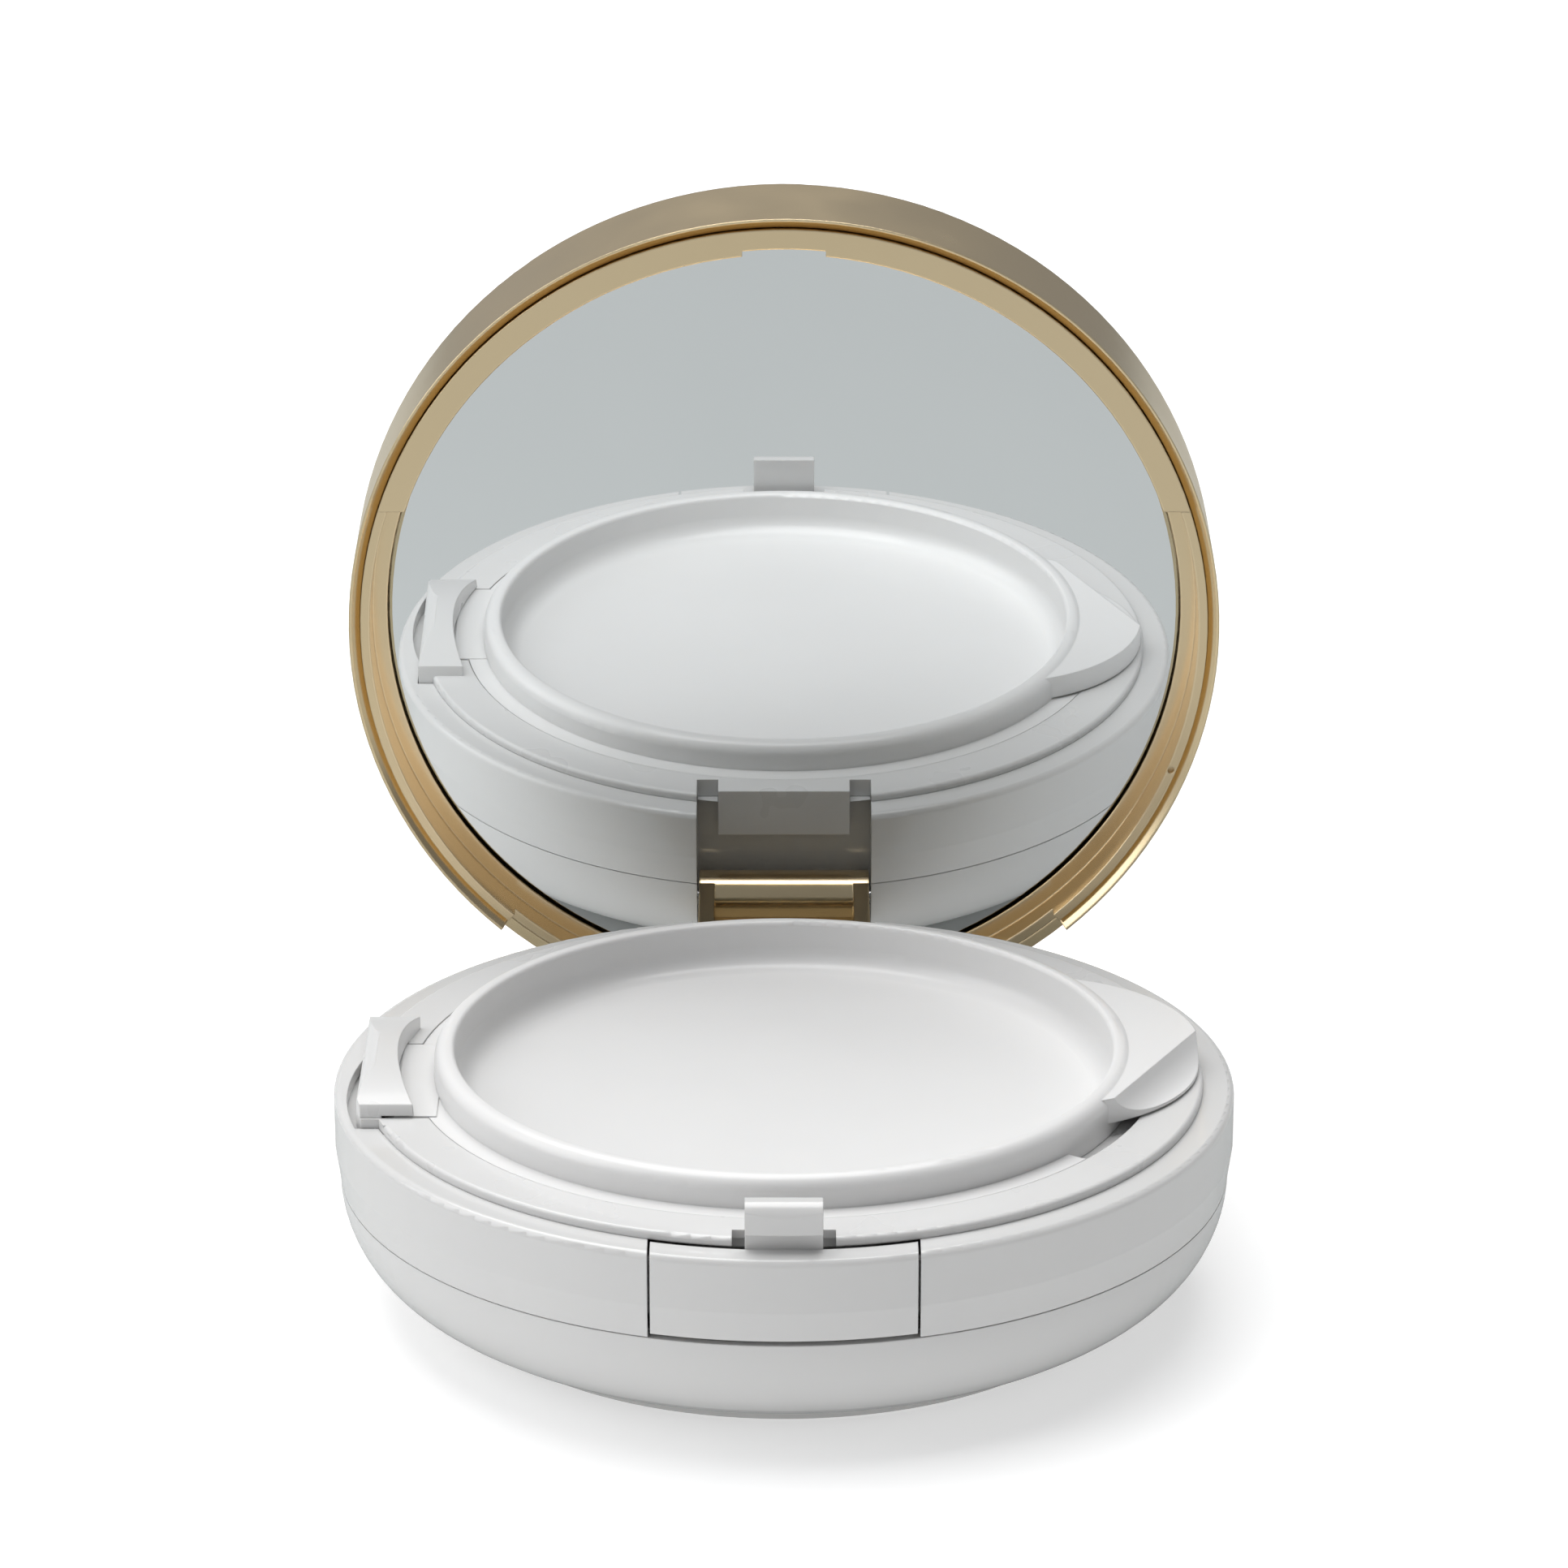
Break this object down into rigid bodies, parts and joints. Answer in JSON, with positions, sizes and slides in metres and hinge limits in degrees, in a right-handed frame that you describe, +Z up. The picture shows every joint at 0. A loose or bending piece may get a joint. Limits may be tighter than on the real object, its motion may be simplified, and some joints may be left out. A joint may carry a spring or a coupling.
{
  "type": "powder compact",
  "caption": "Round powder compact: white base with dished inner lid, latch button and refill pot, gold lid with a round mirror on a rear hinge.",
  "frame": {"origin": "middle of the flat underside of the base", "axes": "+Z up, +Y towards the lid's hinge at the back, +X to the user's right; the push button is at -Y"},
  "size_m": [0.08, 0.0958, 0.0853],
  "materials": {
    "white_plastic": "glossy white moulding",
    "inner_plastic": "semi-gloss white moulding",
    "gold_plate": "pale champagne gold electroplated plastic",
    "mirror_glass": "silvered glass",
    "steel": "drawn steel pin",
    "foam": "closed-cell foam tape",
    "sponge": "open-cell sponge soaked with foundation",
    "silicone": "translucent silicone"
  },
  "bodies": {
    "base": {"base_bowl": "white_plastic", "base_ring": "white_plastic", "refill_pot": "inner_plastic", "cushion_sponge": "sponge", "sponge_retainer_ring": "inner_plastic", "inner_lid": "inner_plastic", "inner_lid_seal": "silicone", "inner_hinge_pin": "steel", "lid_hinge_pin": "steel"},
    "button": {"push_button": "white_plastic"},
    "lid": {"lid_frame": "gold_plate", "lid_shell": "gold_plate", "mirror_pad": "foam", "mirror_glass": "mirror_glass"}
  },
  "joints": [
    {"name": "lid_hinge", "type": "hinge", "parent": "base", "child": "lid", "pos_m": [0, 0.0356, 0.0086], "axis": [-1, 0, 0], "range_deg": [-86.4, 13.6]},
    {"name": "button_slide", "type": "slide", "parent": "base", "child": "button", "axis": [0, 1, 0], "range_m": [0, 0.0009], "stiffness_N_per_m": 2500}
  ]
}
